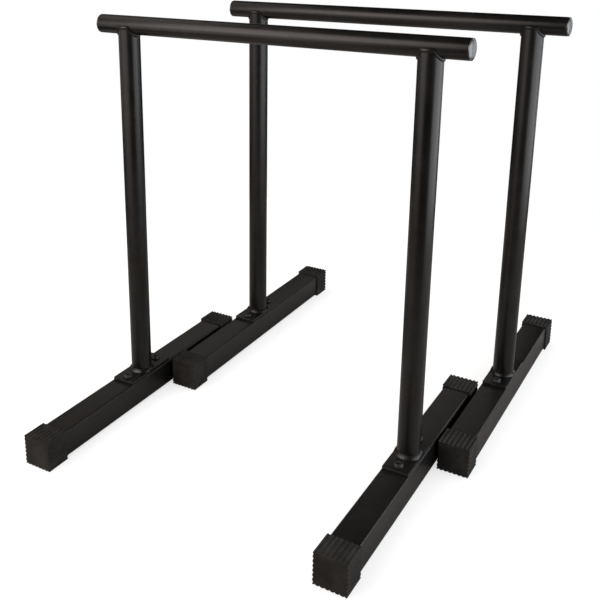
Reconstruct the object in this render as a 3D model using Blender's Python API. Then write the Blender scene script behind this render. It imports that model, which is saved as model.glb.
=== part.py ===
# A pair of tall parallette bars: two free-standing steel frames, set side by side.
# Each frame is a round grip rail on two round uprights. Each upright is welded to a base plate,
# which is bolted down on a square foot tube with a ribbed rubber cap on each end.
# Metres, +Z up. Rails run along X and feet along Y.
# The origin is on the floor, midway between the frames.

import math

import bmesh
import bpy
from mathutils import Matrix, Vector

# Grip rail
RAIL_DIAMETER = 0.034
RAIL_WALL = 0.0026
RAIL_TOP_HEIGHT = 0.7685
RAIL_OVERHANG = 0.065

# End plug of the rail
PLUG_HEAD = 0.005
PLUG_EDGE_RADIUS = 0.0036
PLUG_NECK_WIDTH = 0.0012
PLUG_NECK_DEPTH = 0.0008
PLUG_STEM = 0.014

# Uprights, and the welds at their two ends
UPRIGHT_DIAMETER = 0.040
UPRIGHT_WALL = 0.002
UPRIGHT_SPACING = 0.574
EAR_DROP = 0.0045
RAIL_WELD_PROUD = 0.0022
RAIL_WELD_HALF_HEIGHT = 0.0044
BASE_WELD_WIDTH = 0.0032
BASE_WELD_HEIGHT = 0.0046

# Base plates
PLATE_THICKNESS = 0.005
PLATE_SIDE_MARGIN = 0.0015
PLATE_END_MARGIN = 0.016
PLATE_CORNER = 0.003
PLATE_HOLE_DIAMETER = 0.011

# Foot tubes
FOOT_SIDE = 0.050
FOOT_WALL = 0.002
FOOT_CORNER = 0.0032
FOOT_LENGTH = 0.600

# Rubber caps on the foot tubes
CAP_WALL = 0.003
CAP_LENGTH = 0.048
CAP_RIBS = 8
CAP_RIB_CREST = 0.0042
CAP_RIB_DEPTH = 0.0018
CAP_EDGE = 0.0014

# Button-head screws and the countersunk rivet nuts that they run into
SCREW_DIAMETER = 0.010
SCREW_LENGTH = 0.020
SCREW_HEAD_DIAMETER = 0.0175
SCREW_HEAD_HEIGHT = 0.0055
SCREW_RIM_HEIGHT = 0.0012
SCREW_FLAT_DIAMETER = 0.009
SCREW_SOCKET = 0.006
SCREW_SOCKET_DEPTH = 0.003
SCREW_FROM_UPRIGHT = 0.026
NUT_BARREL_DIAMETER = 0.013
NUT_HEAD_DIAMETER = 0.0146
NUT_LENGTH = 0.017
NUT_BULGE_DIAMETER = 0.017
NUT_BULGE_HEIGHT = 0.004
NUT_BULGE_CREST = 0.0013

# How the two frames stand
RAIL_TO_RAIL = 0.366
CAP_TO_CAP = 0.0024

# The gap left between pieces that touch, and the small break on a cut edge
FIT_GAP = 0.0003
EDGE_BREAK = 0.0006

# Facets around the round pieces
TUBE_SIDES = 32
WELD_STEPS = 24
WELD_SIDES = 6
PLUG_SIDES = 20
SCREW_SIDES = 14
NUT_SIDES = 10
SOCKET_SIDES = 6
CORNER_STEPS = 3

# Sizes that follow from the ones above
RAIL_RADIUS = RAIL_DIAMETER / 2
RAIL_AXIS_HEIGHT = RAIL_TOP_HEIGHT - RAIL_RADIUS
RAIL_LENGTH = UPRIGHT_SPACING + 2 * RAIL_OVERHANG
UPRIGHT_RADIUS = UPRIGHT_DIAMETER / 2
FOOT_BOTTOM = CAP_WALL + FIT_GAP
FOOT_TOP = FOOT_BOTTOM + FOOT_SIDE
CAP_SIDE = FOOT_SIDE + 2 * FOOT_BOTTOM
PLATE_BOTTOM = FOOT_TOP + FIT_GAP
PLATE_TOP = PLATE_BOTTOM + PLATE_THICKNESS
SCREW_OFFSET = UPRIGHT_RADIUS + SCREW_FROM_UPRIGHT
PLATE_LENGTH = 2 * (SCREW_OFFSET + PLATE_END_MARGIN)
PLATE_WIDTH = FOOT_SIDE - 2 * PLATE_SIDE_MARGIN
FRAME_STEP_X = CAP_SIDE + CAP_TO_CAP

SIDES = (("left", -1), ("right", 1))
ENDS = (("near", -1), ("far", 1))
SMOOTH_ANGLE = math.radians(32)


def clear_scene():
    for old in list(bpy.data.objects):
        bpy.data.objects.remove(old, do_unlink=True)


def make_material(name, color, roughness, metallic=0.0):
    material = bpy.data.materials.new(name)
    material.use_nodes = True
    shader = material.node_tree.nodes["Principled BSDF"]
    shader.inputs["Base Color"].default_value = (*color, 1.0)
    shader.inputs["Roughness"].default_value = roughness
    shader.inputs["Metallic"].default_value = metallic
    return material


def finish_mesh(bm, name):
    # Merge what meets, point the faces out and keep real edges crisp.
    bmesh.ops.remove_doubles(bm, verts=bm.verts, dist=1e-6)
    bmesh.ops.recalc_face_normals(bm, faces=bm.faces)
    mesh = bpy.data.meshes.new(name)
    bm.to_mesh(mesh)
    bm.free()
    shade(mesh)
    return mesh


def shade(mesh):
    mesh.shade_smooth()
    mesh.set_sharp_from_angle(angle=SMOOTH_ANGLE)


def turned(profile, sides, name):
    # Spin a profile of (radius, height) points about Z. It closes on itself, or ends on the axis.
    bm = bmesh.new()
    points = [bm.verts.new((radius, 0, height)) for radius, height in profile]
    edges = [bm.edges.new(pair) for pair in zip(points, points[1:])]
    if profile[0][0] > 0:
        edges.append(bm.edges.new((points[-1], points[0])))
    bmesh.ops.spin(bm, geom=points + edges, cent=(0, 0, 0), axis=(0, 0, 1),
                   angle=math.tau, steps=sides, use_merge=True)
    return finish_mesh(bm, name)


def arc(center, radius, start, stop, steps):
    # Points on a circle, from one angle in degrees to another, both ends included.
    angles = [math.radians(start + (stop - start) * step / steps) for step in range(steps + 1)]
    return [(center[0] + radius * math.cos(angle), center[1] + radius * math.sin(angle))
            for angle in angles]


def rounded_rectangle(width, height, corner, steps=CORNER_STEPS):
    outline = []
    for quarter, (sign_x, sign_y) in enumerate(((1, 1), (-1, 1), (-1, -1), (1, -1))):
        center = (sign_x * (width / 2 - corner), sign_y * (height / 2 - corner))
        outline += arc(center, corner, 90 * quarter, 90 * quarter + 90, steps)
    return outline


def ribbed_square(side, ribs, crest, depth, corner):
    # Flat crests with V grooves between them, and a rib on each corner, which is cut off at 45 degrees.
    half = side / 2
    pitch = side / (ribs - 1)
    face = [(half, corner - half)]
    for groove in range(ribs - 1):
        middle = -half + pitch * (groove + 0.5)
        lip = (pitch - crest) / 2
        face += [(half, middle - lip), (half - depth, middle), (half, middle + lip)]
    face.append((half, half - corner))
    outline = []
    for quarter in range(4):
        turn = Matrix.Rotation(math.radians(90 * quarter), 2)
        outline += [tuple(turn @ Vector(point)) for point in face]
    return outline


def ring(bm, outline, spot):
    # One closed ring of vertices; spot turns an outline point into a point in space.
    return [bm.verts.new(spot(*point)) for point in outline]


def skin(bm, first, second):
    # Quads between two rings of the same count.
    count = len(first)
    for index in range(count):
        following = (index + 1) % count
        bm.faces.new((first[index], first[following], second[following], second[index]))


def join_rings(bm, first, second, middle):
    # Triangles between two rings of unlike counts, matched by their bearing round the middle height.
    def bearing(vert):
        return math.atan2(vert.co.z - middle, vert.co.x)

    start = bearing(first[0])
    second = sorted(second, key=lambda vert: (bearing(vert) - start) % math.tau)
    turns = [[(bearing(vert) - start) % math.tau for vert in loop] + [math.tau]
             for loop in (first, second)]
    step, other = 0, 0
    while step < len(first) or other < len(second):
        here, there = first[step % len(first)], second[other % len(second)]
        next_turns = (turns[0][min(step + 1, len(first))], turns[1][min(other + 1, len(second))])
        if other == len(second) or (step < len(first) and next_turns[0] <= next_turns[1]):
            step += 1
            bm.faces.new((here, first[step % len(first)], there))
        else:
            other += 1
            bm.faces.new((here, second[other % len(second)], there))


def boolean(mesh, tools, operation, name):
    # Combine a mesh with others and return the result as a plain mesh.
    made = []
    target = bpy.data.objects.new(name, mesh)
    bpy.context.collection.objects.link(target)
    made.append(target)
    for number, tool_mesh in enumerate(tools):
        tool = bpy.data.objects.new(f"{name}_tool_{number}", tool_mesh)
        tool.display_type = "WIRE"
        tool.hide_render = True
        bpy.context.collection.objects.link(tool)
        made.append(tool)
        modifier = target.modifiers.new("Boolean", "BOOLEAN")
        modifier.operation = operation
        modifier.solver = "EXACT"
        modifier.object = tool
    evaluated = target.evaluated_get(bpy.context.evaluated_depsgraph_get())
    result = bpy.data.meshes.new_from_object(evaluated)
    result.name = name
    for helper in made:
        bpy.data.objects.remove(helper, do_unlink=True)
    shade(result)
    return result


def moved(mesh, matrix):
    copy = mesh.copy()
    copy.transform(matrix)
    return copy


def rail_mesh():
    # A steel tube along Z, with its cut ends broken. The plugs' heads make up the rest of the length.
    half = RAIL_LENGTH / 2 - PLUG_HEAD - FIT_GAP
    bore = RAIL_RADIUS - RAIL_WALL
    edge = EDGE_BREAK
    profile = [
        (bore, -half), (RAIL_RADIUS - edge, -half), (RAIL_RADIUS, edge - half),
        (RAIL_RADIUS, half - edge), (RAIL_RADIUS - edge, half), (bore, half),
    ]
    return turned(profile, TUBE_SIDES, "rail")


def plug_mesh():
    # A plug that points its flat face along +Z, with a shallow neck under its rounded head.
    # Its seat on the tube's end is at height 0.
    stem = RAIL_RADIUS - RAIL_WALL - FIT_GAP
    edge = min(PLUG_EDGE_RADIUS, PLUG_HEAD - PLUG_NECK_WIDTH)
    rounding = arc((RAIL_RADIUS - edge, PLUG_HEAD - edge), edge, 90, 0, CORNER_STEPS)
    neck = RAIL_RADIUS - PLUG_NECK_DEPTH
    tip = stem - EDGE_BREAK
    profile = [(0, PLUG_HEAD), *rounding, (RAIL_RADIUS, PLUG_NECK_WIDTH), (neck, PLUG_NECK_WIDTH), (neck, 0),
               (stem, 0), (stem, EDGE_BREAK - PLUG_STEM), (tip, -PLUG_STEM), (0, -PLUG_STEM)]
    return turned(profile, PLUG_SIDES, "rail_plug")


def round_cutter(radius, low, high, sides, name):
    return turned([(0, low), (radius, low), (radius, high), (0, high)], sides, name)


def rail_cutter():
    # The rail and its gap, as a solid along X at the rail's height.
    radius = RAIL_RADIUS + FIT_GAP
    reach = UPRIGHT_DIAMETER
    solid = round_cutter(radius, -reach, reach, TUBE_SIDES, "rail_cutter")
    upright_to_rail = Matrix.Rotation(math.radians(90), 4, "Y")
    solid.transform(Matrix.Translation((0, 0, RAIL_AXIS_HEIGHT)) @ upright_to_rail)
    return solid


def saddle_height(y):
    # Height of the upright's top edge: under the rail it follows the rail, beside it it ends in flat ears.
    ear_top = RAIL_AXIS_HEIGHT - EAR_DROP
    room = (RAIL_RADIUS + FIT_GAP) ** 2 - y ** 2
    if room <= 0:
        return ear_top
    return min(ear_top, RAIL_AXIS_HEIGHT - math.sqrt(room))


def rail_weld_mesh():
    # A low bead, oval in section, that runs along the upright's top edge, where it meets the rail.
    bm = bmesh.new()
    path_radius = UPRIGHT_RADIUS
    path = []
    for step in range(WELD_STEPS):
        angle = math.tau * (step + 0.5) / WELD_STEPS
        x, y = path_radius * math.cos(angle), path_radius * math.sin(angle)
        path.append(Vector((x, y, saddle_height(y))))
    rings = []
    for index, center in enumerate(path):
        along = (path[(index + 1) % len(path)] - path[index - 1]).normalized()
        outward = Vector((center.x, center.y, 0)).normalized()
        outward = (outward - along * outward.dot(along)).normalized()
        across = along.cross(outward)
        current = []
        for corner in range(WELD_SIDES):
            turn = math.tau * corner / WELD_SIDES
            offset = outward * RAIL_WELD_PROUD * math.cos(turn)
            offset += across * RAIL_WELD_HALF_HEIGHT * math.sin(turn)
            current.append(bm.verts.new(center + offset))
        rings.append(current)
    for index, current in enumerate(rings):
        skin(bm, current, rings[(index + 1) % len(rings)])
    return finish_mesh(bm, "rail_weld")


def upright_mesh():
    # An open tube with a rounded weld at its foot, a weld round its head and a saddle cut for the rail.
    bottom = PLATE_TOP + FIT_GAP
    ear_top = RAIL_AXIS_HEIGHT - EAR_DROP
    bore = UPRIGHT_RADIUS - UPRIGHT_WALL
    weld = [(UPRIGHT_RADIUS + BASE_WELD_WIDTH * reach, bottom + BASE_WELD_HEIGHT * rise)
            for reach, rise in arc((0, 0), 1, 0, 90, CORNER_STEPS)]
    profile = [(bore, bottom), *weld, (UPRIGHT_RADIUS, ear_top), (bore, ear_top)]
    tube = turned(profile, TUBE_SIDES, "upright_tube")
    welded = boolean(tube, [rail_weld_mesh()], "UNION", "upright_welded")
    return boolean(welded, [rail_cutter()], "DIFFERENCE", "upright")


def screw_places():
    return [Matrix.Translation((0, sign * SCREW_OFFSET, 0)) for _, sign in ENDS]


def base_plate_mesh():
    # A flat bar with rounded corners, its upper edge broken, and two clearance holes.
    bm = bmesh.new()
    outline = rounded_rectangle(PLATE_WIDTH, PLATE_LENGTH, PLATE_CORNER)
    break_width, break_length = PLATE_WIDTH - 2 * EDGE_BREAK, PLATE_LENGTH - 2 * EDGE_BREAK
    inner = rounded_rectangle(break_width, break_length, PLATE_CORNER - EDGE_BREAK)
    rings = [
        ring(bm, outline, lambda x, y: (x, y, PLATE_BOTTOM)),
        ring(bm, outline, lambda x, y: (x, y, PLATE_TOP - EDGE_BREAK)),
        ring(bm, inner, lambda x, y: (x, y, PLATE_TOP)),
    ]
    skin(bm, rings[0], rings[1])
    skin(bm, rings[1], rings[2])
    bm.faces.new(rings[0])
    bm.faces.new(rings[2])
    plate = finish_mesh(bm, "plate_blank")
    low, high = PLATE_BOTTOM - PLATE_THICKNESS, PLATE_TOP + PLATE_THICKNESS
    drill = round_cutter(PLATE_HOLE_DIAMETER / 2, low, high, SCREW_SIDES, "plate_drill")
    drills = [moved(drill, screw_place) for screw_place in screw_places()]
    return boolean(plate, drills, "DIFFERENCE", "base_plate")


def foot_tube_mesh():
    # A square tube along Y, with two countersunk holes for the rivet nuts in its upper wall.
    bm = bmesh.new()
    half = FOOT_LENGTH / 2
    middle = FOOT_BOTTOM + FOOT_SIDE / 2
    outer = rounded_rectangle(FOOT_SIDE, FOOT_SIDE, FOOT_CORNER)
    bore_side = FOOT_SIDE - 2 * FOOT_WALL
    inner = rounded_rectangle(bore_side, bore_side, max(FOOT_CORNER - FOOT_WALL, EDGE_BREAK))
    loops = [ring(bm, outline, lambda x, z, y=y: (x, y, z + middle))
             for outline, y in ((outer, -half), (outer, half), (inner, half), (inner, -half))]
    for index, loop in enumerate(loops):
        skin(bm, loop, loops[(index + 1) % len(loops)])
    tube = finish_mesh(bm, "tube_blank")
    barrel = NUT_BARREL_DIAMETER / 2 + FIT_GAP
    head = NUT_HEAD_DIAMETER / 2 + FIT_GAP
    sink = head - barrel
    clear = FOOT_WALL
    profile = [(0, -2 * clear), (barrel, -2 * clear), (barrel, -sink), (head + clear, clear), (0, clear)]
    drill = turned(profile, NUT_SIDES, "foot_drill")
    drill.transform(Matrix.Translation((0, 0, FOOT_TOP)))
    drills = [moved(drill, screw_place) for screw_place in screw_places()]
    return boolean(tube, drills, "DIFFERENCE", "foot_tube")


def foot_cap_mesh():
    # A ribbed cap for the tube's +Y end: its mouth faces -Y, and y = 0 is its closed end.
    # The ribs run through to both ends.
    bm = bmesh.new()
    middle = CAP_SIDE / 2
    ribbed = ribbed_square(CAP_SIDE, CAP_RIBS, CAP_RIB_CREST, CAP_RIB_DEPTH, CAP_EDGE)
    cavity_side = FOOT_SIDE + 2 * FIT_GAP
    cavity = rounded_rectangle(cavity_side, cavity_side, FOOT_CORNER + FIT_GAP, CORNER_STEPS)
    floor = -CAP_WALL
    mouth = ring(bm, ribbed, lambda x, z: (x, -CAP_LENGTH, z + middle))
    face = ring(bm, ribbed, lambda x, z: (x, 0, z + middle))
    lip = ring(bm, cavity, lambda x, z: (x, -CAP_LENGTH, z + middle))
    seat = ring(bm, cavity, lambda x, z: (x, floor, z + middle))
    skin(bm, mouth, face)
    skin(bm, lip, seat)
    join_rings(bm, mouth, lip, middle)
    bm.faces.new(face)
    bm.faces.new(seat)
    return finish_mesh(bm, "foot_cap")


def screw_mesh():
    # A button head with a hexagon socket; height 0 is the seat under the head.
    shank = SCREW_DIAMETER / 2
    head = SCREW_HEAD_DIAMETER / 2
    rim = SCREW_RIM_HEIGHT
    flat = SCREW_FLAT_DIAMETER / 2
    dome = [(flat + (head - flat) * math.cos(turn), rim + (SCREW_HEAD_HEIGHT - rim) * math.sin(turn))
            for turn in (math.radians(angle) for angle in (90, 45, 0))]
    profile = [(0, SCREW_HEAD_HEIGHT), *dome, (head, 0),
               (shank, 0), (shank, -SCREW_LENGTH), (0, -SCREW_LENGTH)]
    blank = turned(profile, SCREW_SIDES, "screw_blank")
    corner = SCREW_SOCKET / math.sqrt(3)
    low, high = SCREW_HEAD_HEIGHT - SCREW_SOCKET_DEPTH, SCREW_HEAD_HEIGHT + SCREW_SOCKET_DEPTH
    socket = round_cutter(corner, low, high, SOCKET_SIDES, "screw_socket")
    return boolean(blank, [socket], "DIFFERENCE", "screw")


def rivet_nut_mesh():
    # A countersunk rivet nut, set: its bulge grips the tube's wall from below.
    # Height 0 is its flush face.
    bore = SCREW_DIAMETER / 2 + FIT_GAP
    barrel = NUT_BARREL_DIAMETER / 2
    head = NUT_HEAD_DIAMETER / 2
    bulge_top = -(FOOT_WALL + FIT_GAP)
    bulge_low = bulge_top - NUT_BULGE_HEIGHT
    profile = [(bore, 0), (head, 0), (barrel, barrel - head), (barrel, bulge_top),
               (NUT_BULGE_DIAMETER / 2, bulge_top - NUT_BULGE_CREST), (barrel, bulge_low),
               (barrel, -NUT_LENGTH), (bore, -NUT_LENGTH)]
    return turned(profile, NUT_SIDES, "rivet_nut")


def place(name, mesh, material, parent, location, rotation=(0, 0, 0)):
    mesh.materials.clear()
    mesh.materials.append(material)
    piece = bpy.data.objects.new(name, mesh)
    piece.parent = parent
    piece.location = location
    piece.rotation_euler = rotation
    bpy.context.collection.objects.link(piece)
    return piece


def add_frame(prefix, location, meshes, materials):
    anchor = bpy.data.objects.new(f"{prefix}_frame", None)
    anchor.location = location
    bpy.context.collection.objects.link(anchor)
    quarter = math.radians(90)
    rail_end = RAIL_LENGTH / 2 - PLUG_HEAD
    cap_end = FOOT_LENGTH / 2 + FIT_GAP + CAP_WALL
    place(f"{prefix}_top_rail", meshes["rail"], materials["coat"], anchor,
          (0, 0, RAIL_AXIS_HEIGHT), (0, quarter, 0))
    for side, sign in SIDES:
        x = sign * UPRIGHT_SPACING / 2
        place(f"{prefix}_rail_plug_{side}", meshes["plug"], materials["plastic"], anchor,
              (sign * rail_end, 0, RAIL_AXIS_HEIGHT), (0, sign * quarter, 0))
        place(f"{prefix}_upright_{side}", meshes["upright"], materials["coat"], anchor, (x, 0, 0))
        place(f"{prefix}_base_plate_{side}", meshes["plate"], materials["coat"], anchor, (x, 0, 0))
        place(f"{prefix}_foot_tube_{side}", meshes["foot"], materials["coat"], anchor, (x, 0, 0))
        for end, toward in ENDS:
            turn = 0 if toward > 0 else math.pi
            place(f"{prefix}_foot_cap_{side}_{end}", meshes["cap"], materials["rubber"], anchor,
                  (x, toward * cap_end, 0), (0, 0, turn))
            place(f"{prefix}_screw_{side}_{end}", meshes["screw"], materials["blackened"], anchor,
                  (x, toward * SCREW_OFFSET, PLATE_TOP + FIT_GAP))
            place(f"{prefix}_rivet_nut_{side}_{end}", meshes["nut"], materials["zinc"], anchor,
                  (x, toward * SCREW_OFFSET, FOOT_TOP))


def main():
    clear_scene()
    materials = {
        "coat": make_material("satin_black_coat", (0.022, 0.020, 0.018), 0.42, 0.0),
        "plastic": make_material("black_plastic", (0.030, 0.031, 0.033), 0.36),
        "rubber": make_material("black_rubber", (0.024, 0.024, 0.025), 0.72),
        "blackened": make_material("blackened_steel", (0.050, 0.048, 0.046), 0.38, 0.8),
        "zinc": make_material("zinc_plated_steel", (0.62, 0.62, 0.60), 0.35, 1.0),
    }
    meshes = {
        "rail": rail_mesh(),
        "plug": plug_mesh(),
        "upright": upright_mesh(),
        "plate": base_plate_mesh(),
        "foot": foot_tube_mesh(),
        "cap": foot_cap_mesh(),
        "screw": screw_mesh(),
        "nut": rivet_nut_mesh(),
    }
    half_step = Vector((FRAME_STEP_X / 2, RAIL_TO_RAIL / 2, 0))
    add_frame("front", -half_step, meshes, materials)
    add_frame("rear", half_step, meshes, materials)


main()
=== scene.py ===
import math

import bmesh
import bpy
from mathutils import Matrix, Vector


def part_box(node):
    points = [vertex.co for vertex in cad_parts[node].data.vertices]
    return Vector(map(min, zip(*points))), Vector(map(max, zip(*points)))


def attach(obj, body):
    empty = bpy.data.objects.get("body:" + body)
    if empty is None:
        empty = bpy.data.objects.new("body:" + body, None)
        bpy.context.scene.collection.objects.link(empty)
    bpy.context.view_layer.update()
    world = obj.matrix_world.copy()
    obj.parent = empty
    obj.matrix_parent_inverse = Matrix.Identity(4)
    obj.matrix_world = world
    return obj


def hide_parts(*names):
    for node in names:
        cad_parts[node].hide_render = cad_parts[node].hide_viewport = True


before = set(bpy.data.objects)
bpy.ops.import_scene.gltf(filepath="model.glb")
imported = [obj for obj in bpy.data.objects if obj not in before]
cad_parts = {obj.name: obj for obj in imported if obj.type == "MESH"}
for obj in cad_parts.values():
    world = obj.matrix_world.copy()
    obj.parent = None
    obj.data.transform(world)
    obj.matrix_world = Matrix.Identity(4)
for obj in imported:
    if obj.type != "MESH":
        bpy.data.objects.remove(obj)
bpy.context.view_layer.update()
print("stage 1: CAD frame loaded,", len(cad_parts), "nodes")

scene = bpy.context.scene
mm = 0.001
sixthTurn = math.tau / 6


# Node trees written as Python expressions
class Wire:
    # One output socket of a node. Operators on it add Math nodes to the same tree.
    def __init__(self, tree, source=None, socket=None):
        self.tree = tree
        self.source = source
        self.socket = socket

    def node(self, kind, settings=None, sockets=None, out=0):
        made = self.tree.nodes.new(kind)
        for name, value in (settings or {}).items():
            setattr(made, name, value)
        for key, value in (sockets or {}).items():
            if isinstance(value, Wire):
                self.tree.links.new(value.socket, made.inputs[key])
            else:
                made.inputs[key].default_value = value
        return Wire(self.tree, made, made.outputs[out] if len(made.outputs) else None)

    def out(self, name):
        return Wire(self.tree, self.source, self.source.outputs[name])

    def maths(self, operation, *values):
        return self.node("ShaderNodeMath", {"operation": operation}, dict(enumerate(values)))

    def clamped(self):
        return self.node("ShaderNodeClamp", sockets={0: self})

    def between(self, low, high):
        # 0 below low, 1 above high and a smooth step from one to the other
        return self.node("ShaderNodeMapRange", {"interpolation_type": "SMOOTHSTEP"},
                         {"Value": self, "From Min": low, "From Max": high})

    def __add__(self, other):
        return self.maths("ADD", self, other)

    def __radd__(self, other):
        return self.maths("ADD", other, self)

    def __sub__(self, other):
        return self.maths("SUBTRACT", self, other)

    def __rsub__(self, other):
        return self.maths("SUBTRACT", other, self)

    def __mul__(self, other):
        return self.maths("MULTIPLY", self, other)

    def __rmul__(self, other):
        return self.maths("MULTIPLY", other, self)

    def __truediv__(self, other):
        return self.maths("DIVIDE", self, other)

    def __rtruediv__(self, other):
        return self.maths("DIVIDE", other, self)

    def __neg__(self):
        return self.maths("MULTIPLY", self, -1.0)

    def __pow__(self, other):
        return self.maths("POWER", self, other)


def grey(value):
    return (value, value, value)


def newMaterial(name):
    material = bpy.data.materials.new(name)
    material.use_nodes = True
    tree = material.node_tree
    tree.nodes.clear()
    return material, Wire(tree)


def mixColor(start, factor, first, second):
    # Colours go through a Mix node, numbers through Math nodes
    sockets = {0: factor}
    for key, value in ((6, first), (7, second)):
        sockets[key] = value if isinstance(value, Wire) else (*value, 1.0)
    return start.node("ShaderNodeMix", {"data_type": "RGBA"}, sockets, out=2)


def noise(start, place, scale, detail, roughness):
    return start.node("ShaderNodeTexNoise", {"noise_dimensions": "3D"},
                      {"Vector": place, "Scale": scale, "Detail": detail, "Roughness": roughness})


def stretched(start, place, factors, turn=(0.0, 0.0, 0.0)):
    return start.node("ShaderNodeMapping", sockets={"Vector": place, "Rotation": turn, "Scale": factors})


def bump(start, height, distance, strength, before=None):
    sockets = {"Height": height, "Distance": distance, "Strength": strength}
    if before is not None:
        sockets["Normal"] = before
    return start.node("ShaderNodeBump", sockets=sockets)


def surface(start, color, roughness, normal, metallic=0.0, specular=0.5):
    shader = start.node("ShaderNodeBsdfPrincipled", sockets={
        "Base Color": color, "Roughness": roughness, "Normal": normal, "Metallic": metallic,
        "Specular IOR Level": specular})
    start.node("ShaderNodeOutputMaterial", sockets={"Surface": shader})


# Powder coat on all the steel tube and plate. Each noise is given by its scale, detail and roughness
coatLook = {
    "dark": (0.0034, 0.0030, 0.0027),
    "light": (0.0086, 0.0076, 0.0069),
    "dust": (0.120, 0.110, 0.104),
    "patches": (9.0, 4.0, 0.55),
    "patchShare": 0.6,
    "cloud": (55.0, 3.0, 0.6),
    "cloudShare": 0.4,
    "toneRange": (0.36, 0.66),
    "specks": (620.0, 2.0, 0.7),
    "speckRange": (0.70, 0.78),
    "speckDust": 0.30,
    "rubs": (1.0, 3.0, 0.6),
    "rubStretch": (26.0, 210.0, 210.0),
    "rubRange": (0.60, 0.74),
    "rubDust": 0.05,
    "grain": (1500.0, 1.5, 0.6),
    "grainDepth": 0.05 * mm,
    "grainStrength": 0.55,
    "peel": (330.0, 1.0, 0.4),
    "peelDepth": 0.09 * mm,
    "peelStrength": 0.5,
    "roughness": 0.34,
    "patchRoughness": 0.16,
    "grainRoughness": 0.10,
    "rubRoughness": -0.04,
    "specular": 0.30,
}


def satinBlackCoat():
    look = coatLook
    material, start = newMaterial("satinBlackCoat")
    place = start.node("ShaderNodeTexCoord").out("Object")
    patches = noise(start, place, *look["patches"])
    cloud = noise(start, place, *look["cloud"])
    grain = noise(start, place, *look["grain"])
    peel = noise(start, place, *look["peel"])
    specks = noise(start, place, *look["specks"]).between(*look["speckRange"])
    rubs = noise(start, stretched(start, place, look["rubStretch"]), *look["rubs"])
    rubs = rubs.between(*look["rubRange"])
    tone = (patches * look["patchShare"] + cloud * look["cloudShare"]).between(*look["toneRange"])
    color = mixColor(start, tone, look["dark"], look["light"])
    color = mixColor(start, specks * look["speckDust"] + rubs * look["rubDust"], color, look["dust"])
    roughness = look["roughness"] + (patches - 0.5) * look["patchRoughness"]
    roughness = roughness + (grain - 0.5) * look["grainRoughness"] + rubs * look["rubRoughness"]
    pebbled = bump(start, peel, look["peelDepth"], look["peelStrength"])
    fine = bump(start, grain, look["grainDepth"], look["grainStrength"], pebbled)
    surface(start, color, roughness.clamped(), fine, specular=look["specular"])
    return material


# Rubber of the foot caps
rubberLook = {
    "dark": (0.0178, 0.0166, 0.0154),
    "light": (0.0326, 0.0304, 0.0282),
    "dust": (0.110, 0.104, 0.099),
    "patches": (32.0, 4.0, 0.6),
    "toneRange": (0.35, 0.68),
    "scuffs": (1.0, 4.0, 0.65),
    "scuffStretch": (160.0, 60.0, 160.0),
    "scuffRange": (0.58, 0.72),
    "scuffDust": 0.12,
    "crumbs": (240.0, 3.0, 0.7),
    "crumbRange": (0.45, 0.70),
    "crumbHeight": 9 * mm,
    "crumbDust": 0.22,
    "grain": (2100.0, 2.0, 0.6),
    "grainDepth": 0.05 * mm,
    "grainStrength": 0.5,
    "roughness": 0.62,
    "patchRoughness": 0.22,
    "grainRoughness": 0.12,
    "scuffRoughness": 0.06,
    "specular": 0.12,
}


def ribbedRubber():
    look = rubberLook
    material, start = newMaterial("ribbedRubber")
    place = start.node("ShaderNodeTexCoord").out("Object")
    patches = noise(start, place, *look["patches"])
    grain = noise(start, place, *look["grain"])
    scuffs = noise(start, stretched(start, place, look["scuffStretch"]), *look["scuffs"])
    scuffs = scuffs.between(*look["scuffRange"])
    height = start.node("ShaderNodeSeparateXYZ", sockets={0: place}).out("Z")
    crumbs = noise(start, place, *look["crumbs"]).between(*look["crumbRange"])
    lowDust = (1.0 - height.between(0.0, look["crumbHeight"])) * crumbs
    color = mixColor(start, patches.between(*look["toneRange"]), look["dark"], look["light"])
    dust = (scuffs * look["scuffDust"] + lowDust * look["crumbDust"]).clamped()
    color = mixColor(start, dust, color, look["dust"])
    roughness = look["roughness"] + (patches - 0.5) * look["patchRoughness"]
    roughness = roughness + (grain - 0.5) * look["grainRoughness"] + scuffs * look["scuffRoughness"]
    normal = bump(start, grain, look["grainDepth"], look["grainStrength"])
    surface(start, color, roughness.clamped(), normal, specular=look["specular"])
    return material


# Moulded plastic of the rail's end plugs
plugLook = {
    "color": (0.0175, 0.0180, 0.0188),
    "worn": (0.100, 0.100, 0.100),
    "patches": (60.0, 3.0, 0.6),
    "patchRange": (0.4, 0.8),
    "patchWear": 0.12,
    "nicks": (1.0, 3.0, 0.7),
    "nickStretch": (900.0, 260.0, 90.0),
    "nickTurn": (0.5, 0.0, 0.3),
    "nickRange": (0.64, 0.74),
    "nickWear": 0.35,
    "grain": (1700.0, 2.0, 0.55),
    "grainDepth": 0.03 * mm,
    "grainStrength": 0.5,
    "roughness": 0.31,
    "patchRoughness": 0.12,
    "grainRoughness": 0.06,
    "nickRoughness": 0.14,
    "specular": 0.9,
}


def mouldedPlastic():
    look = plugLook
    material, start = newMaterial("mouldedPlastic")
    place = start.node("ShaderNodeTexCoord").out("Object")
    patches = noise(start, place, *look["patches"])
    grain = noise(start, place, *look["grain"])
    nicks = noise(start, stretched(start, place, look["nickStretch"], look["nickTurn"]), *look["nicks"])
    nicks = nicks.between(*look["nickRange"])
    wear = nicks * look["nickWear"] + patches.between(*look["patchRange"]) * look["patchWear"]
    color = mixColor(start, wear.clamped(), look["color"], look["worn"])
    roughness = look["roughness"] + (patches - 0.5) * look["patchRoughness"]
    roughness = roughness + nicks * look["nickRoughness"] + (grain - 0.5) * look["grainRoughness"]
    normal = bump(start, grain, look["grainDepth"], look["grainStrength"])
    surface(start, color, roughness.clamped(), normal, specular=look["specular"])
    return material


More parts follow.
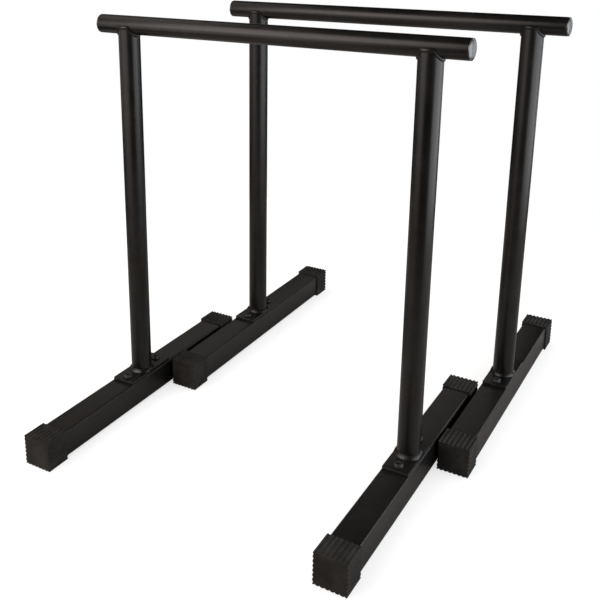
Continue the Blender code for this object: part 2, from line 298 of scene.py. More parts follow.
# Black oxide on the screws
screwLook = {
    "color": (0.026, 0.025, 0.024),
    "bright": (0.100, 0.095, 0.092),
    "patches": (420.0, 4.0, 0.6),
    "rubbed": (900.0, 3.0, 0.7),
    "rubbedRange": (0.60, 0.74),
    "rubbedShare": 0.45,
    "grain": (2600.0, 2.0, 0.6),
    "grainDepth": 0.02 * mm,
    "grainStrength": 0.5,
    "roughness": 0.52,
    "patchRoughness": 0.25,
    "metallic": 0.5,
}


def blackOxide():
    look = screwLook
    material, start = newMaterial("blackOxide")
    place = start.node("ShaderNodeTexCoord").out("Object")
    patches = noise(start, place, *look["patches"])
    grain = noise(start, place, *look["grain"])
    rubbed = noise(start, place, *look["rubbed"]).between(*look["rubbedRange"])
    color = mixColor(start, rubbed * look["rubbedShare"], look["color"], look["bright"])
    roughness = look["roughness"] + (patches - 0.5) * look["patchRoughness"]
    normal = bump(start, grain, look["grainDepth"], look["grainStrength"])
    surface(start, color, roughness.clamped(), normal, metallic=look["metallic"])
    return material


# Zinc on the hidden rivet nuts
zincLook = {
    "dark": (0.55, 0.55, 0.53),
    "light": (0.66, 0.66, 0.65),
    "patches": (500.0, 4.0, 0.6),
    "toneRange": (0.35, 0.7),
    "roughness": 0.32,
    "patchRoughness": 0.3,
    "patchDepth": 0.04 * mm,
    "patchStrength": 0.4,
}


def brightZinc():
    look = zincLook
    material, start = newMaterial("brightZinc")
    place = start.node("ShaderNodeTexCoord").out("Object")
    patches = noise(start, place, *look["patches"])
    color = mixColor(start, patches.between(*look["toneRange"]), look["dark"], look["light"])
    roughness = look["roughness"] + (patches - 0.5) * look["patchRoughness"]
    normal = bump(start, patches, look["patchDepth"], look["patchStrength"])
    surface(start, color, roughness.clamped(), normal, metallic=1.0)
    return material


coat = satinBlackCoat()
rubber = ribbedRubber()
plastic = mouldedPlastic()
oxide = blackOxide()
zinc = brightZinc()
print("stage 2: materials ready")


# Mesh helpers
def joinRings(bm, rings, closed=False):
    # Quads between rings of the same count, and a fan where a ring is one point
    pairs = list(zip(rings, rings[1:]))
    if closed:
        pairs.append((rings[-1], rings[0]))
    for first, second in pairs:
        count = max(len(first), len(second))
        for index in range(count):
            after = (index + 1) % count
            corners = [first[index % len(first)], first[after % len(first)],
                       second[after % len(second)], second[index % len(second)]]
            bm.faces.new(list(dict.fromkeys(corners)))


def turned(profile, steps, closed=True):
    # Turn a profile of (radius, height) points round Z
    bm = bmesh.new()
    rings = []
    for radius, height in profile:
        if radius == 0:
            rings.append([bm.verts.new((0, 0, height))])
            continue
        rings.append([bm.verts.new((radius * math.cos(math.tau * step / steps),
                                    radius * math.sin(math.tau * step / steps), height))
                      for step in range(steps)])
    joinRings(bm, rings, closed)
    return bm


def bend(center, radius, start, stop, steps):
    # Points on an arc, angles in degrees
    points = []
    for step in range(steps + 1):
        angle = math.radians(start + (stop - start) * step / steps)
        points.append((center[0] + radius * math.cos(angle), center[1] + radius * math.sin(angle)))
    return points


def roundedOutline(halfX, halfZ, corner, faceSteps=1, cornerSteps=8):
    # A rectangle with round corners, counterclockwise, with even steps along each face
    points = []
    for quarter in range(4):
        halfA, halfB = (halfX, halfZ) if quarter % 2 == 0 else (halfZ, halfX)
        side = [(halfA, -(halfB - corner) + 2 * (halfB - corner) * step / faceSteps)
                for step in range(faceSteps)]
        side += bend((halfA - corner, halfB - corner), corner, 0, 90, cornerSteps)[:-1]
        angle = math.radians(90 * quarter)
        points += [(x * math.cos(angle) - z * math.sin(angle), x * math.sin(angle) + z * math.cos(angle))
                   for x, z in side]
    return points


def toMesh(bm, name, creaseAngle=35):
    bmesh.ops.remove_doubles(bm, verts=bm.verts, dist=0.0005 * mm)
    bmesh.ops.recalc_face_normals(bm, faces=bm.faces)
    mesh = bpy.data.meshes.new(name)
    bm.to_mesh(mesh)
    bm.free()
    mesh.shade_smooth()
    mesh.set_sharp_from_angle(angle=math.radians(creaseAngle))
    return mesh


def toObject(mesh, name, material=None, matrix=None):
    if matrix is not None:
        mesh.transform(matrix)
    if material is not None:
        mesh.materials.clear()
        mesh.materials.append(material)
    made = bpy.data.objects.new(name, mesh)
    scene.collection.objects.link(made)
    return made


def drill(name, place, radius, low, high, steps):
    # A closed cylinder to cut a hole with
    profile = [(0, low), (radius, low), (radius, high), (0, high)]
    mesh = toMesh(turned(profile, steps, closed=False), name)
    return toObject(mesh, name, coat, Matrix.Translation(place))


def evaluated(made):
    # The mesh of an object with its modifiers applied
    bpy.context.view_layer.update()
    return bpy.data.meshes.new_from_object(made.evaluated_get(bpy.context.evaluated_depsgraph_get()))


def cut(target, cutters, creaseAngle=35):
    # Exact Boolean cuts, kept as a plain mesh; the cutters go
    for cutter in cutters:
        modifier = target.modifiers.new("Cut", "BOOLEAN")
        modifier.operation = "DIFFERENCE"
        modifier.solver = "EXACT"
        modifier.object = cutter
    mesh = evaluated(target)
    target.modifiers.clear()
    target.data = mesh
    mesh.shade_smooth()
    mesh.set_sharp_from_angle(angle=math.radians(creaseAngle))
    for cutter in cutters:
        bpy.data.objects.remove(cutter, do_unlink=True)


# Geometry Nodes helpers
def newTree(name, inputs):
    tree = bpy.data.node_groups.new(name, "GeometryNodeTree")
    tree.is_modifier = True
    tree.interface.new_socket("Geometry", in_out="INPUT", socket_type="NodeSocketGeometry")
    for label, kind, value in inputs:
        socket = tree.interface.new_socket(label, in_out="INPUT", socket_type=kind)
        if value is not None:
            socket.default_value = value
    tree.interface.new_socket("Geometry", in_out="OUTPUT", socket_type="NodeSocketGeometry")
    return tree, Wire(tree).node("NodeGroupInput")


def grown(name, mesh, tree, values, creaseAngle=40):
    # Run a tree on a mesh and keep the result as a plain mesh on an object at the origin
    made = toObject(mesh, name)
    modifier = made.modifiers.new("Grow", "NODES")
    modifier.node_group = tree
    for item in tree.interface.items_tree:
        if item.item_type == "SOCKET" and item.in_out == "INPUT" and item.name in values:
            modifier[item.identifier] = values[item.name]
    baked = evaluated(made)
    made.modifiers.remove(modifier)
    made.data = baked
    baked.shade_smooth()
    baked.set_sharp_from_angle(angle=math.radians(creaseAngle))
    return made


def endTree(geometry, material):
    solid = geometry.node("GeometryNodeRealizeInstances", sockets={0: geometry})
    solid = solid.node("GeometryNodeSetMaterial", sockets={"Geometry": solid, "Material": material})
    solid.node("NodeGroupOutput", sockets={0: solid})


# Weld bead: how finely it is swept, its noises and how its ripples lie
beadShape = {
    "pathSteps": 192,
    "sectionSteps": 20,
    "roughScale": 110.0,
    "roughDetail": 2.0,
    "coarseScale": 38.0,
    "coarseDetail": 1.0,
    "coarseSeed": 7.0,
    "rippleLag": 0.45,
    "rippleDrift": 1.3,
    "ripplePower": 4.0,
    "outsideRange": (-0.3, 0.5),
    "wander": 3.0,
    "saddleBlend": 3.0 * mm,
}


def weldTree():
    # A bead round a tube: a swept ring, flattened, raised along a saddle, uneven and rippled
    tree, inputs = newTree("weldBead", [
        ("Tube Radius", "NodeSocketFloat", 20 * mm),
        ("Half Height", "NodeSocketFloat", 5 * mm),
        ("Proud", "NodeSocketFloat", 2 * mm),
        ("Root", "NodeSocketFloat", 3 * mm),
        ("Flatness", "NodeSocketFloat", 0.0),
        ("Saddle Radius", "NodeSocketFloat", 17.3 * mm),
        ("Saddle Floor", "NodeSocketFloat", 4.5 * mm),
        ("Saddle Share", "NodeSocketFloat", 0.0),
        ("Side Limit", "NodeSocketFloat", 1.0),
        ("Ripples", "NodeSocketFloat", 38.0),
        ("Ripple Height", "NodeSocketFloat", 0.25 * mm),
        ("Unevenness", "NodeSocketFloat", 0.5 * mm),
        ("Seed", "NodeSocketFloat", 0.0),
        ("Place", "NodeSocketVector", (0.0, 0.0, 0.0)),
        ("Finish", "NodeSocketMaterial", None),
    ])
    radius = inputs.out("Tube Radius")
    unit = 1 * mm
    path = inputs.node("GeometryNodeCurvePrimitiveCircle",
                       sockets={"Resolution": beadShape["pathSteps"], "Radius": radius})
    section = inputs.node("GeometryNodeCurvePrimitiveCircle",
                          sockets={"Resolution": beadShape["sectionSteps"], "Radius": unit})
    bead = inputs.node("GeometryNodeCurveToMesh", sockets={"Curve": path, "Profile Curve": section})
    position = inputs.node("GeometryNodeInputPosition")
    parts = inputs.node("ShaderNodeSeparateXYZ", sockets={0: position})
    x, y, z = parts.out("X"), parts.out("Y"), parts.out("Z")
    reach = (x * x + y * y) ** 0.5
    # The section is a circle of one unit, pressed towards a diamond by the flatness
    across, up = (reach - radius) / unit, z / unit
    lean = across.maths("ABSOLUTE", across) + up.maths("ABSOLUTE", up)
    press = 1.0 + inputs.out("Flatness") * (1.0 / lean - 1.0)
    across, up = across * press, up * press
    angle = y.maths("ARCTAN2", y, x)
    rough = inputs.node("ShaderNodeTexNoise", {"noise_dimensions": "4D"},
                        {"Vector": position, "W": inputs.out("Seed"),
                         "Scale": beadShape["roughScale"], "Detail": beadShape["roughDetail"]})
    coarse = inputs.node("ShaderNodeTexNoise", {"noise_dimensions": "4D"},
                         {"Vector": position, "W": inputs.out("Seed") + beadShape["coarseSeed"],
                          "Scale": beadShape["coarseScale"], "Detail": beadShape["coarseDetail"]})
    # Each ripple is a shallow crescent that lags behind at the bead's upper and lower edge
    phase = angle * inputs.out("Ripples") / math.tau + up * up * beadShape["rippleLag"]
    phase = phase + (coarse - 0.5) * beadShape["rippleDrift"]
    saw = phase.maths("FRACT", phase)
    crescent = saw * (1.0 - saw ** beadShape["ripplePower"])
    outside = across.between(*beadShape["outsideRange"])
    swell = (rough - 0.5) * inputs.out("Unevenness") * 2.0
    swell = swell + crescent * inputs.out("Ripple Height") * outside
    proud = across.maths("MAXIMUM", across, 0.0) * inputs.out("Proud")
    root = across.maths("MINIMUM", across, 0.0) * inputs.out("Root")
    newReach = radius + proud + root + swell * outside
    wander = (coarse - 0.5) * inputs.out("Unevenness") * beadShape["wander"]
    # The saddle is the rail's underside, level where the tube's ears stand beside the rail
    side = y / reach * radius
    room = side.maths("MAXIMUM", inputs.out("Saddle Radius") ** 2.0 - side * side, 0.0) ** 0.5
    hang = room.maths("SMOOTH_MAX", room, inputs.out("Saddle Floor"), beadShape["saddleBlend"])
    lift = (inputs.out("Saddle Radius") - hang) * inputs.out("Saddle Share")
    newUp = up * inputs.out("Half Height") + lift + wander
    scale = newReach / reach
    limit = inputs.out("Side Limit")
    newX = x.maths("MINIMUM", x.maths("MAXIMUM", x * scale, -limit), limit)
    moved = inputs.node("ShaderNodeCombineXYZ", sockets={0: newX, 1: y * scale, 2: newUp})
    bead = inputs.node("GeometryNodeSetPosition", sockets={"Geometry": bead, "Position": moved})
    bead = inputs.node("GeometryNodeTransform",
                       sockets={"Geometry": bead, "Translation": inputs.out("Place")})
    endTree(bead, inputs.out("Finish"))
    return tree


def screwTree():
    # A screw on each point of the input mesh, turned to a chance angle
    tree, inputs = newTree("screwsOnPoints", [
        ("Screw", "NodeSocketObject", None),
        ("Seed", "NodeSocketInt", 3),
        ("Finish", "NodeSocketMaterial", None),
    ])
    screw = inputs.node("GeometryNodeObjectInfo", sockets={"Object": inputs.out("Screw")},
                        out="Geometry")
    turn = inputs.node("FunctionNodeRandomValue", {"data_type": "FLOAT"},
                       {"Min": 0.0, "Max": sixthTurn, "Seed": inputs.out("Seed")}, out=1)
    rotation = inputs.node("ShaderNodeCombineXYZ", sockets={2: turn})
    screws = inputs.node("GeometryNodeInstanceOnPoints", sockets={
        "Points": inputs.out("Geometry"), "Instance": screw, "Rotation": rotation})
    endTree(screws, inputs.out("Finish"))
    return tree


def named(inputs, kind, name):
    return inputs.node("GeometryNodeInputNamedAttribute", {"data_type": kind}, {"Name": name})


def capTree():
    # Grooves pressed into a plain cap, then the cap set on each tube end
    tree, inputs = newTree("ribbedCaps", [
        ("Cap", "NodeSocketObject", None),
        ("Face Width", "NodeSocketFloat", 56.6 * mm),
        ("Ribs", "NodeSocketFloat", 8.0),
        ("Crest Width", "NodeSocketFloat", 4.2 * mm),
        ("Groove Depth", "NodeSocketFloat", 1.3 * mm),
        ("Finish", "NodeSocketMaterial", None),
    ])
    cap = inputs.node("GeometryNodeObjectInfo", sockets={"Object": inputs.out("Cap")}, out="Geometry")
    across = named(inputs, "FLOAT", "across")
    share = named(inputs, "FLOAT", "ribShare")
    inward = named(inputs, "FLOAT_VECTOR", "inward")
    pitch = inputs.out("Face Width") / (inputs.out("Ribs") - 1.0)
    count = across / pitch + (inputs.out("Ribs") - 1.0) * 0.5
    offCrest = count.maths("ABSOLUTE", count - count.maths("ROUND", count))
    crest = inputs.out("Crest Width") * 0.5 / pitch
    groove = offCrest.node("ShaderNodeMapRange", {"interpolation_type": "SMOOTHSTEP"},
                           {"Value": offCrest, "From Min": crest, "From Max": 0.5})
    depth = groove * share * inputs.out("Groove Depth")
    offset = inputs.node("ShaderNodeVectorMath", {"operation": "SCALE"}, {0: inward, "Scale": depth})
    cap = inputs.node("GeometryNodeSetPosition", sockets={"Geometry": cap, "Offset": offset})
    turn = named(inputs, "FLOAT", "turn")
    rotation = inputs.node("ShaderNodeCombineXYZ", sockets={2: turn})
    caps = inputs.node("GeometryNodeInstanceOnPoints", sockets={
        "Points": inputs.out("Geometry"), "Instance": cap, "Rotation": rotation})
    endTree(caps, inputs.out("Finish"))
    return tree


weldBead = weldTree()
screwsOnPoints = screwTree()
ribbedCaps = capTree()
print("stage 3: node trees ready")

# Grip rail
railShape = {"wall": 2.6 * mm, "endBreak": 0.7 * mm, "breakSteps": 4, "steps": 96}


def gripRail(name, node):
    low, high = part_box(node)
    radius = (high.z - low.z) / 2
    half = (high.x - low.x) / 2
    bore = radius - railShape["wall"]
    edge = railShape["endBreak"]
    bevel = bend((radius - edge, half - edge), edge, 90, 0, railShape["breakSteps"])
    profile = [(bore, half), *bevel, *[(r, -h) for r, h in reversed(bevel)], (bore, -half)]
    mesh = toMesh(turned(profile, railShape["steps"]), name)
    matrix = Matrix.Translation((low + high) / 2) @ Matrix.Rotation(math.radians(90), 4, "Y")
    rail = toObject(mesh, name, coat, matrix)
    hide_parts(node)
    return rail


# End plug: a disc with a domed face and a shallow neck, and a stem in the tube
plugShape = {
    "seatGap": 0.35 * mm,
    "shrink": 0.15 * mm,
    "domeRadius": 14.0 * mm,
    "domeAngle": 35.0,
    "domeSteps": 10,
    "edge": 0.4 * mm,
    "neckWidth": 1.2 * mm,
    "neckDepth": 0.9 * mm,
    "stemGap": 0.15 * mm,
    "crease": 50,
    "steps": 96,
}


def endPlug(name, node, railNode, sign):
    low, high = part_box(node)
    railLow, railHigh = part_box(railNode)
    seat = railHigh.x if sign > 0 else railLow.x
    face = high.x if sign > 0 else low.x
    head = abs(face - seat)
    radius = (high.z - low.z) / 2 - plugShape["shrink"]
    neck = radius - plugShape["neckDepth"]
    stem = radius - railShape["wall"] - plugShape["stemGap"]
    length = (high.x - low.x) - head
    dome, fall, edge = plugShape["domeRadius"], plugShape["domeAngle"], plugShape["edge"]
    gap, width = plugShape["seatGap"], plugShape["neckWidth"]
    flat = radius - dome * math.sin(math.radians(fall))
    profile = [(0, head), *bend((flat, head - dome), dome, 90, 90 - fall, plugShape["domeSteps"]),
               (radius, width + edge / 2), (radius - edge / 2, width), (neck, width), (neck, gap),
               (stem, gap), (stem, -length), (0, -length)]
    mesh = toMesh(turned(profile, plugShape["steps"], closed=False), name, plugShape["crease"])
    center = Vector((seat, (low.y + high.y) / 2, (low.z + high.z) / 2))
    matrix = Matrix.Translation(center) @ Matrix.Rotation(math.radians(90 * sign), 4, "Y")
    plug = toObject(mesh, name, plastic, matrix)
    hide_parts(node)
    return plug


# Upright: a round tube with its head cut to the rail
uprightShape = {
    "radius": 20 * mm,
    "wall": 2.0 * mm,
    "earDrop": 4.5 * mm,
    "gap": 0.3 * mm,
    "steps": 96,
}


def upright(name, node, plateNode, railNode):
    low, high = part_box(node)
    railLow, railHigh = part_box(railNode)
    axis = (railLow.z + railHigh.z) / 2
    saddle = (railHigh.z - railLow.z) / 2 + uprightShape["gap"]
    center = (low + high) / 2
    radius = uprightShape["radius"]
    bore = radius - uprightShape["wall"]
    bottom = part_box(plateNode)[1].z + uprightShape["gap"]
    top = axis - uprightShape["earDrop"]
    bm = turned([(bore, bottom), (radius, bottom), (radius, top), (bore, top)], uprightShape["steps"])
    for vert in bm.verts:
        if vert.co.z > axis / 2:
            room = saddle ** 2 - vert.co.y ** 2
            vert.co.z = top if room <= 0 else min(top, axis - math.sqrt(room))
    tube = toObject(toMesh(bm, name), name, coat, Matrix.Translation((center.x, center.y, 0)))
    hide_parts(node)
    return tube


# Weld beads at both ends of the upright, as inputs of the bead's node tree
railWeld = {
    "Half Height": 3.5 * mm,
    "Proud": 2.2 * mm,
    "Root": 3.4 * mm,
    "Flatness": 0.25,
    "Side Limit": 1.0,
    "Saddle Share": 1.0,
    "Ripples": 34.0,
    "Ripple Height": 0.35 * mm,
    "Unevenness": 0.40 * mm,
}
footWeld = {
    "Half Height": 5.6 * mm,
    "Proud": 5.2 * mm,
    "Root": 1.6 * mm,
    "Flatness": 0.75,
    "Side Limit": 23.3 * mm,
    "Saddle Share": 0.0,
    "Ripples": 36.0,
    "Ripple Height": 0.30 * mm,
    "Unevenness": 0.40 * mm,
}
weldPlace = {
    "belowRail": 1.2 * mm,
    "abovePlate": 0.2 * mm,
    "earSink": 2.0 * mm,
    "seedStep": 3.0,
    "crease": 60,
}


def beads(name, center, plateTop, axis, railRadius, seed):
    shared = {"Tube Radius": uprightShape["radius"], "Saddle Radius": railRadius + uprightShape["gap"],
              "Saddle Floor": uprightShape["earDrop"] - weldPlace["earSink"], "Finish": coat}
    upper = {**shared, **railWeld, "Seed": seed,
             "Place": (center.x, center.y, axis - railRadius - weldPlace["belowRail"])}
    lower = {**shared, **footWeld, "Seed": seed + weldPlace["seedStep"],
             "Place": (center.x, center.y, plateTop + weldPlace["abovePlate"])}
    made = []
    for label, values in (("RailWeld", upper), ("FootWeld", lower)):
        seat = bpy.data.meshes.new(name + label)
        bead = grown(name + label, seat, weldBead, values, weldPlace["crease"])
        made.append(bead)
    return made


# Base plate: flat bar with soft edges and two clearance holes
plateShape = {
    "corner": 3.0 * mm,
    "edge": 0.8 * mm,
    "edgeSteps": 4,
    "lowEdge": 0.32 * mm,
    "hole": 11 * mm,
    "holeSteps": 48,
    "screwOffset": 46 * mm,
    "crease": 30,
}


def basePlate(name, node):
    low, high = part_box(node)
    center = (low + high) / 2
    halfX, halfY = (high.x - low.x) / 2, (high.y - low.y) / 2
    thickness = high.z - low.z
    edge, lowEdge = plateShape["edge"], plateShape["lowEdge"]
    levels = [(lowEdge, 0.0), (0.0, lowEdge)]
    levels += bend((edge, thickness - edge), edge, 180, 90, plateShape["edgeSteps"])
    bm = bmesh.new()
    rings = []
    for inset, height in levels:
        outline = roundedOutline(halfX - inset, halfY - inset, plateShape["corner"] - inset)
        rings.append([bm.verts.new((x, y, low.z + height)) for x, y in outline])
    joinRings(bm, rings)
    bm.faces.new(rings[0])
    bm.faces.new(rings[-1])
    plate = toObject(toMesh(bm, name, plateShape["crease"]), name, coat,
                     Matrix.Translation((center.x, center.y, 0)))
    cutters = []
    for sign in (-1, 1):
        place = (center.x, center.y + sign * plateShape["screwOffset"], 0)
        cutters.append(drill(name + "Drill", place, plateShape["hole"] / 2,
                             low.z - thickness, high.z + thickness, plateShape["holeSteps"]))
    cut(plate, cutters)
    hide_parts(node)
    return plate


# Foot tube: square tube with rounded corners and two holes for the rivet nuts
footShape = {"wall": 2.0 * mm, "corner": 3.4 * mm, "nutHole": 7.7 * mm, "holeSteps": 32, "crease": 30}


def footTube(name, node):
    low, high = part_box(node)
    center = (low + high) / 2
    half = (high.x - low.x) / 2
    inner = half - footShape["wall"]
    corner = footShape["corner"]
    innerCorner = corner - footShape["wall"]
    bm = bmesh.new()
    rings = []
    for size, bendRadius, y in ((half, corner, low.y), (half, corner, high.y),
                                (inner, innerCorner, high.y), (inner, innerCorner, low.y)):
        outline = roundedOutline(size, size, bendRadius)
        rings.append([bm.verts.new((center.x + x, y, center.z + z)) for x, z in outline])
    joinRings(bm, rings, closed=True)
    tube = toObject(toMesh(bm, name, footShape["crease"]), name, coat)
    bore = footShape["nutHole"]
    cutters = []
    for sign in (-1, 1):
        place = (center.x, center.y + sign * plateShape["screwOffset"], 0)
        cutters.append(drill(name + "Drill", place, bore, center.z, high.z + bore,
                             footShape["holeSteps"]))
    cut(tube, cutters)
    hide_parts(node)
    return tube


# Rubber cap: a sleeve with one closed end, ribbed by the node tree
capShape = {
    "wall": 3.0 * mm,
    "ribs": 8,
    "crest": 3.2 * mm,
    "groove": 2.0 * mm,
    "stepsPerRib": 10,
    "corner": 1.6 * mm,
    "cornerSteps": 4,
    "cavityCorner": 3.5 * mm,
    "lip": 0.9 * mm,
    "lipSteps": 3,
    "mouthShare": 0.85,
    "shoulder": 0.7 * mm,
    "shoulderSteps": 4,
    "flatRim": 3.2 * mm,
    "crease": 40,
}


def plainCap(width, length):
    # Closed end at y = 0, mouth towards -Y, bottom face at z = 0
    half = width / 2
    faceSteps = (capShape["ribs"] - 1) * capShape["stepsPerRib"]
    corner, lip, shoulder = capShape["corner"], capShape["lip"], capShape["shoulder"]
    cavity, cavityCorner = half - capShape["wall"], capShape["cavityCorner"]
    bm = bmesh.new()
    across = bm.verts.layers.float.new("across")
    ribShare = bm.verts.layers.float.new("ribShare")
    inward = bm.verts.layers.float_vector.new("inward")
    reference = roundedOutline(half, half, corner, faceSteps, capShape["cornerSteps"])

    def ring(y, size, bendRadius, share):
        # Each point knows its place across its face, how deep a groove may go there and which way
        made = []
        outline = roundedOutline(size, size, bendRadius, faceSteps, capShape["cornerSteps"])
        for (x, z), (homeX, homeZ) in zip(outline, reference):
            vert = bm.verts.new((x, y, z + half))
            vert[ribShare] = share
            if abs(homeX) >= abs(homeZ):
                vert[across] = homeZ
                vert[inward] = (-math.copysign(1, homeX), 0, 0)
            else:
                vert[across] = homeX
                vert[inward] = (0, 0, -math.copysign(1, homeZ))
            made.append(vert)
        return made

    rings = [ring(y, cavity, cavityCorner, 0.0) for y in (-capShape["wall"], -length)]
    mouth = bend((half - lip, lip - length), lip, -90, 0, capShape["lipSteps"])
    for step, (size, y) in enumerate(mouth):
        rings.append(ring(y, size, corner, 1.0 if step else capShape["mouthShare"]))
    for size, y in bend((half - shoulder, -shoulder), shoulder, 0, 90, capShape["shoulderSteps"]):
        rings.append(ring(y, size, corner, 1.0))
    rings.append(ring(0.0, half - capShape["flatRim"], corner, 0.0))
    joinRings(bm, rings)
    bm.faces.new(rings[0])
    bm.faces.new(rings[-1])
    return toMesh(bm, "plainCap", capShape["crease"])


def footCaps(name, nodes):
    low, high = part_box(nodes[0])
    width, length = high.x - low.x, high.y - low.y
    template = toObject(plainCap(width, length), name + "Template", rubber)
    seats = bpy.data.meshes.new(name)
    places, turns = [], []
    for node in nodes:
        low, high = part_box(node)
        far = node.endswith("far")
        places.append(((low.x + high.x) / 2, high.y if far else low.y, low.z))
        turns.append(0.0 if far else math.pi)
    seats.from_pydata(places, [], [])
    seats.attributes.new("turn", "FLOAT", "POINT").data.foreach_set("value", turns)
    caps = grown(name, seats, ribbedCaps, {
        "Cap": template, "Face Width": width, "Ribs": float(capShape["ribs"]),
        "Crest Width": capShape["crest"], "Groove Depth": capShape["groove"], "Finish": rubber})
    bpy.data.objects.remove(template, do_unlink=True)
    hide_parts(*nodes)
    return caps


# Button-head screw with a hexagon socket
screwShape = {
    "head": 17.5 * mm,
    "height": 5.5 * mm,
    "rim": 1.1 * mm,
    "rimShare": 0.75,
    "rimBreak": 0.2 * mm,
    "domeInset": 0.25 * mm,
    "domeStep": 15,
    "flat": 4.9 * mm,
    "socket": 6.0 * mm,
    "socketFlare": 0.3 * mm,
    "socketBreak": 0.35 * mm,
    "depth": 3.0 * mm,
    "drillPoint": 0.9 * mm,
    "shank": 10 * mm,
    "shankBreak": 0.8 * mm,
    "length": 20 * mm,
    "steps": 60,
    "crease": 30,
}


def buttonScrew():
    shape, steps = screwShape, screwShape["steps"]
    head, height, rim, flat = shape["head"] / 2, shape["height"], shape["rim"], shape["flat"]
    bm = bmesh.new()

    def ring(radius, z, hexagonal=False):
        made = []
        for step in range(steps):
            angle = math.tau * step / steps
            reach = radius
            if hexagonal:
                reach = radius / math.cos((angle % sixthTurn) - sixthTurn / 2)
            made.append(bm.verts.new((reach * math.cos(angle), reach * math.sin(angle), z)))
        return made

    socket, floor = shape["socket"] / 2, height - shape["depth"]
    rings = [[bm.verts.new((0, 0, floor - shape["drillPoint"]))], ring(socket, floor, True),
             ring(socket, height - shape["socketBreak"], True),
             ring(socket + shape["socketFlare"], height, True)]
    for degrees in range(90, -1, -shape["domeStep"]):
        angle = math.radians(degrees)
        rings.append(ring(flat + (head - shape["domeInset"] - flat) * math.cos(angle),
                          rim + (height - rim) * math.sin(angle)))
    rings += [ring(head, rim * shape["rimShare"]), ring(head, shape["rimBreak"]),
              ring(head - shape["rimBreak"], 0.0)]
    shank, end = shape["shank"] / 2, -shape["length"]
    rings += [ring(shank, 0.0), ring(shank, end + shape["shankBreak"]),
              ring(shank - shape["shankBreak"], end), [bm.verts.new((0, 0, end))]]
    joinRings(bm, rings)
    return toMesh(bm, "buttonScrew", shape["crease"])


def screws(name, nodes, seed):
    template = toObject(buttonScrew(), name + "Template", oxide)
    seats = bpy.data.meshes.new(name)
    places = []
    for node in nodes:
        low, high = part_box(node)
        places.append(((low.x + high.x) / 2, (low.y + high.y) / 2, high.z - screwShape["height"]))
    seats.from_pydata(places, [], [])
    values = {"Screw": template, "Seed": seed, "Finish": oxide}
    made = grown(name, seats, screwsOnPoints, values, screwShape["crease"])
    bpy.data.objects.remove(template, do_unlink=True)
    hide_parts(*nodes)
    return made


# Both frames, with their own weld and screw seeds
seeds = {"weldUnit": 11.0, "weldSide": 5.0, "screw": 3}
pieces = []
for index, unit in enumerate(("front", "rear")):
    rail = f"{unit}_top_rail"
    railLow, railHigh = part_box(rail)
    pieces.append(gripRail(f"{unit}GripRail", rail))
    capNodes, screwNodes = [], []
    for side, sign in (("left", -1), ("right", 1)):
        label = f"{unit}{side.title()}"
        pieces.append(endPlug(label + "Plug", f"{unit}_rail_plug_{side}", rail, sign))
        node, plate = f"{unit}_upright_{side}", f"{unit}_base_plate_{side}"
        pieces.append(upright(label + "Upright", node, plate, rail))
        low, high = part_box(node)
        seed = seeds["weldUnit"] * index + seeds["weldSide"] * sign
        pieces += beads(label, (low + high) / 2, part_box(plate)[1].z, (railLow.z + railHigh.z) / 2,
                        (railHigh.z - railLow.z) / 2, seed)
        pieces.append(basePlate(label + "Plate", plate))
        pieces.append(footTube(label + "Foot", f"{unit}_foot_tube_{side}"))
        for end in ("near", "far"):
            capNodes.append(f"{unit}_foot_cap_{side}_{end}")
            screwNodes.append(f"{unit}_screw_{side}_{end}")
            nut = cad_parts[f"{unit}_rivet_nut_{side}_{end}"]
            for slot in nut.material_slots:
                slot.material = zinc
    pieces.append(footCaps(f"{unit}Caps", capNodes))
    pieces.append(screws(f"{unit}Screws", screwNodes, seeds["screw"] + index))
    print("stage 4:", unit, "frame built")

for piece in pieces:
    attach(piece, "root")
print("stage 5:", len(pieces), "pieces ride on the frame")

# Camera, at the photograph's viewpoint
cameraSetup = {
    "place": (0.7021, -1.4477, 0.9307),
    "azimuth": 31.7952,
    "elevation": 16.0509,
    "roll": -0.2116,
    "sensor": 36.0,
    "lens": 52.585,
    "shiftX": 0.10204,
    "shiftY": -0.20926,
    "nearClip": 0.05,
    "farClip": 60.0,
}


def addCamera():
    azimuth = math.radians(cameraSetup["azimuth"])
    elevation = math.radians(cameraSetup["elevation"])
    roll = math.radians(cameraSetup["roll"])
    forward = Vector((-math.sin(azimuth) * math.cos(elevation), math.cos(azimuth) * math.cos(elevation),
                      -math.sin(elevation)))
    right = forward.cross(Vector((0, 0, 1))).normalized()
    up = right.cross(forward)
    tiltedRight = math.cos(roll) * right + math.sin(roll) * up
    tiltedUp = math.cos(roll) * up - math.sin(roll) * right
    data = bpy.data.cameras.new("photoCamera")
    data.sensor_width = cameraSetup["sensor"]
    data.lens = cameraSetup["lens"]
    data.shift_x, data.shift_y = cameraSetup["shiftX"], cameraSetup["shiftY"]
    data.clip_start, data.clip_end = cameraSetup["nearClip"], cameraSetup["farClip"]
    camera = bpy.data.objects.new("photoCamera", data)
    turn = Matrix((tiltedRight, tiltedUp, -forward)).transposed().to_4x4()
    camera.matrix_world = Matrix.Translation(cameraSetup["place"]) @ turn
    scene.collection.objects.link(camera)
    scene.camera = camera


addCamera()

